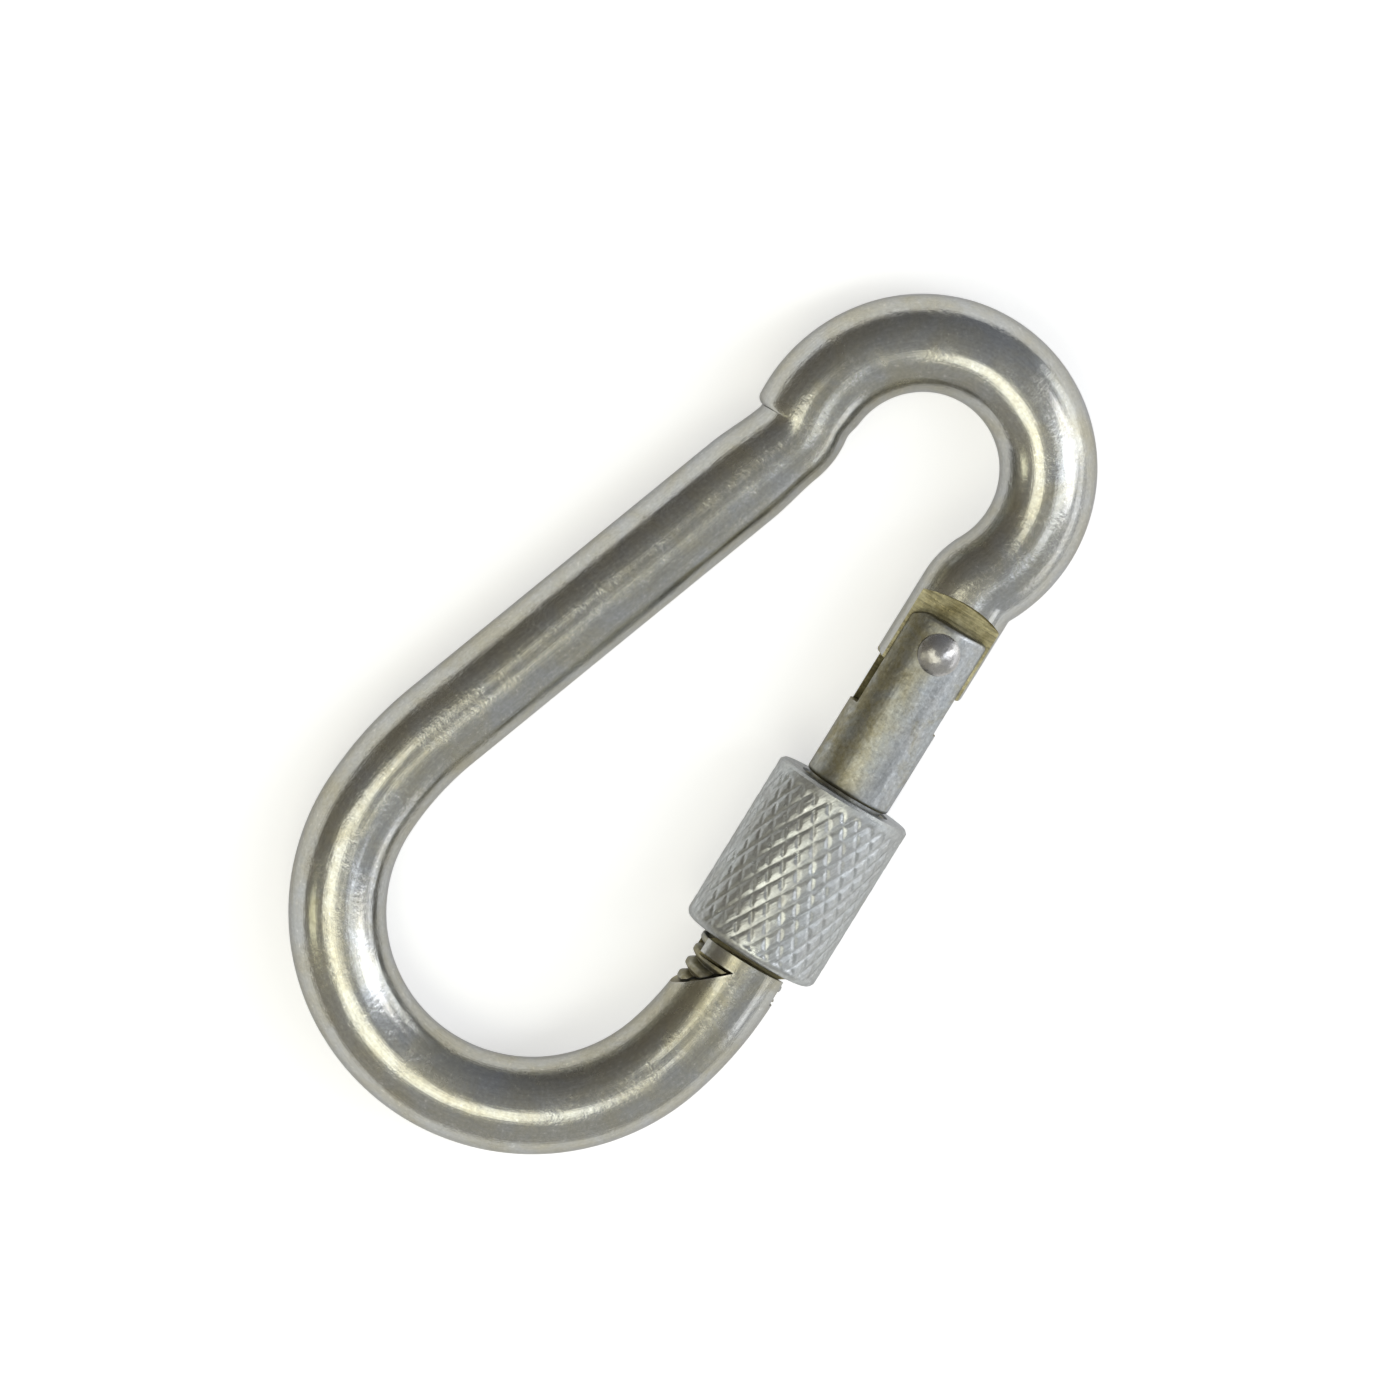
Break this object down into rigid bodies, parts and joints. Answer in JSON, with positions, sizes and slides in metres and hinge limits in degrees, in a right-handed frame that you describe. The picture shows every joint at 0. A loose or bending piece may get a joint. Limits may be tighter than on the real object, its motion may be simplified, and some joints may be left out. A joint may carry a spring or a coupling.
{
  "type": "screwgate carabiner",
  "caption": "Pear-shaped steel carabiner bent from round bar, with a spring-closed hinged gate and a knurled locking nut on its threaded end.",
  "frame": {"origin": "centre of the large bow, in the plane of the loop", "axes": "+Y from the large bow to the small bow, +X from the spine to the gate, +Z square to the plane of the loop"},
  "size_m": [0.0502, 0.0998, 0.0146],
  "materials": {
    "plated_bar": "zinc plated",
    "plated_gate": "zinc plated",
    "plated_nut": "zinc plated, knurled",
    "rivet_steel": "bright, peened",
    "inner_steel": "plain"
  },
  "bodies": {
    "hook": {"hook_body": "plated_bar"},
    "gate": {"gate": "plated_gate", "hinge_rivet": "rivet_steel", "closing_spring": "inner_steel"},
    "nut": {"lock_nut": "plated_nut"},
    "plunger": {"plunger": "inner_steel"}
  },
  "joints": [
    {"name": "gate_hinge", "type": "hinge", "parent": "hook", "child": "gate", "pos_m": [0.01277, 0.0455, 0], "axis": [0, 0, -1], "range_deg": [0, 28], "stiffness_Nm_per_rad": 0.05, "springref_deg": -17.19},
    {"name": "nut_travel", "type": "slide", "parent": "gate", "child": "nut", "axis": [0.1684, -0.9857, 0], "range_m": [0, 0.00525]},
    {"name": "plunger_travel", "type": "slide", "parent": "gate", "child": "plunger", "axis": [0.1684, -0.9857, 0], "range_m": [0, 0.001], "deforming": ["closing_spring"]}
  ],
  "couplings": [
    {"joint": "plunger_travel", "follows": "gate_hinge", "m_per_rad": 0.0016}
  ]
}
